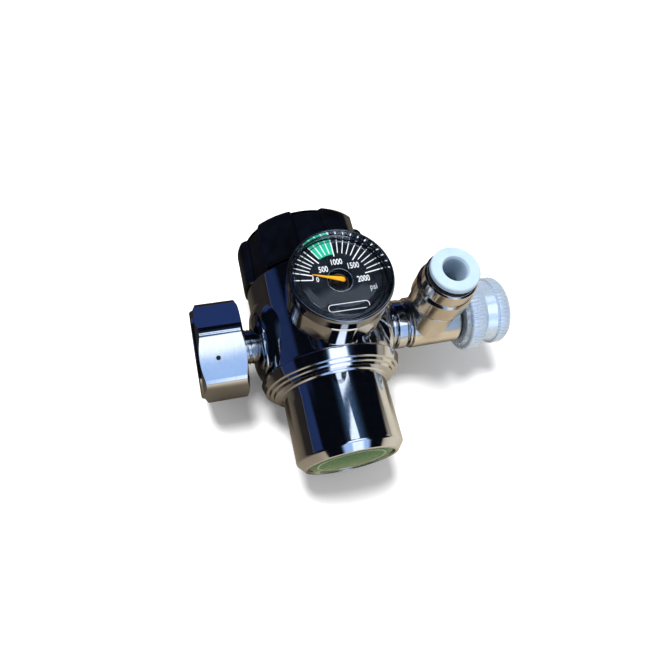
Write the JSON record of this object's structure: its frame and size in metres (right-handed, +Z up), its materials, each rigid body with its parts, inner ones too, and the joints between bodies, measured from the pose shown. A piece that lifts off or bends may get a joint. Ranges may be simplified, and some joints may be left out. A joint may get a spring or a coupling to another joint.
{
  "type": "gas pressure regulator",
  "caption": "Compact pressure regulator with fluted hand knob, capped bonnet, hex inlet nut, micro gauge and needle-valve tee with push-in outlet.",
  "frame": {"origin": "middle of the part's footprint, at the level of the surface it lies on", "axes": "+X towards the needle valve, +Y towards the hand knob, +Z up along the gauge"},
  "size_m": [0.089, 0.0668, 0.0547],
  "materials": {
    "chrome": "polished chrome plate",
    "brushed_nut": "fine brushed",
    "nickel": "polished nickel plate",
    "brass": "machined",
    "steel": "machined",
    "bronze": "drawn",
    "black_plastic": "glossy",
    "rubber": "matt",
    "nylon": "satin",
    "label_green": "satin printed",
    "label_gold": "satin printed",
    "dial_black": "matt",
    "pointer_orange": "matt",
    "lens_clear": "clear",
    "collar_plastic": "satin",
    "dark_plastic": "satin"
  },
  "bodies": {
    "regulator": {"regulator_body": "chrome", "bonnet": "chrome", "bonnet_o_ring": "rubber", "end_label": "label_green", "end_label_ring": "label_gold", "spring_housing": "steel", "main_spring": "steel", "valve_seat": "nylon", "poppet_spring": "steel", "poppet_plug": "brass", "inlet_stem": "chrome", "inlet_washer": "nylon", "inlet_filter": "bronze", "outlet_adapter": "chrome", "valve_body": "nickel", "valve_seal_ring": "rubber", "valve_gland": "brass", "gland_o_ring": "rubber", "gauge_case": "chrome", "gauge_bezel": "chrome", "gauge_lens": "lens_clear", "gauge_seal": "nylon", "gauge_dial": "dial_black", "bourdon_coil": "bronze", "coil_base": "brass", "fitting_seal": "chrome", "fitting_body": "nickel", "tube_o_ring": "rubber", "grab_ring": "steel", "collar_guide": "dark_plastic"},
    "pressure_knob": {"adjusting_knob": "black_plastic", "adjusting_spindle": "steel", "knob_screw": "steel"},
    "spring_seat": {"spring_seat": "brass"},
    "piston": {"piston": "brass", "piston_o_ring": "rubber", "push_pin": "steel"},
    "poppet": {"poppet": "brass"},
    "inlet_nut": {"inlet_nut": "brushed_nut"},
    "valve_stem": {"valve_needle": "steel"},
    "valve_knob": {"valve_knob": "chrome", "valve_knob_plug": "steel"},
    "lock_ring": {"lock_ring": "chrome"},
    "pointer": {"gauge_pointer": "pointer_orange", "pointer_arbor": "brass"},
    "release_collar": {"release_collar": "collar_plastic"}
  },
  "joints": [
    {"name": "pressure_knob_turn", "type": "hinge", "parent": "regulator", "child": "pressure_knob", "pos_m": [-0.0096, 0.0264, 0.019], "axis": [0, -1, 0], "range_deg": [0, 720]},
    {"name": "spring_seat_travel", "type": "slide", "parent": "regulator", "child": "spring_seat", "axis": [0, -1, 0], "range_m": [0, 0.002], "deforming": ["main_spring"]},
    {"name": "piston_stroke", "type": "slide", "parent": "regulator", "child": "piston", "axis": [0, -1, 0], "range_m": [0, 0.0004]},
    {"name": "poppet_stroke", "type": "slide", "parent": "regulator", "child": "poppet", "axis": [0, -1, 0], "range_m": [0, 0.0004], "deforming": ["poppet_spring"]},
    {"name": "inlet_nut_spin", "type": "hinge", "parent": "regulator", "child": "inlet_nut", "pos_m": [-0.0386, 0.0024, 0.019], "axis": [-1, 0, 0], "continuous": true},
    {"name": "needle_travel", "type": "slide", "parent": "regulator", "child": "valve_stem", "axis": [1, 0, 0], "range_m": [0, 0.0015]},
    {"name": "valve_knob_turn", "type": "hinge", "parent": "valve_stem", "child": "valve_knob", "pos_m": [0.0404, 0.0024, 0.019], "axis": [1, 0, 0], "range_deg": [0, 1080]},
    {"name": "lock_ring_spin", "type": "hinge", "parent": "regulator", "child": "lock_ring", "pos_m": [0.0339, 0.0024, 0.019], "axis": [1, 0, 0], "continuous": true},
    {"name": "pointer_swing", "type": "hinge", "parent": "regulator", "child": "pointer", "pos_m": [-0.0096, 0.0019, 0.0518], "axis": [0, 0, -1], "range_deg": [0, 158]},
    {"name": "collar_press", "type": "slide", "parent": "regulator", "child": "release_collar", "axis": [0, 0, -1], "range_m": [0, 0.0008], "stiffness_N_per_m": 500}
  ],
  "couplings": [
    {"joint": "spring_seat_travel", "follows": "pressure_knob_turn", "m_per_rad": 0.00015915},
    {"joint": "poppet_stroke", "follows": "piston_stroke", "ratio": 1},
    {"joint": "needle_travel", "follows": "valve_knob_turn", "m_per_rad": 0.000079577}
  ]
}
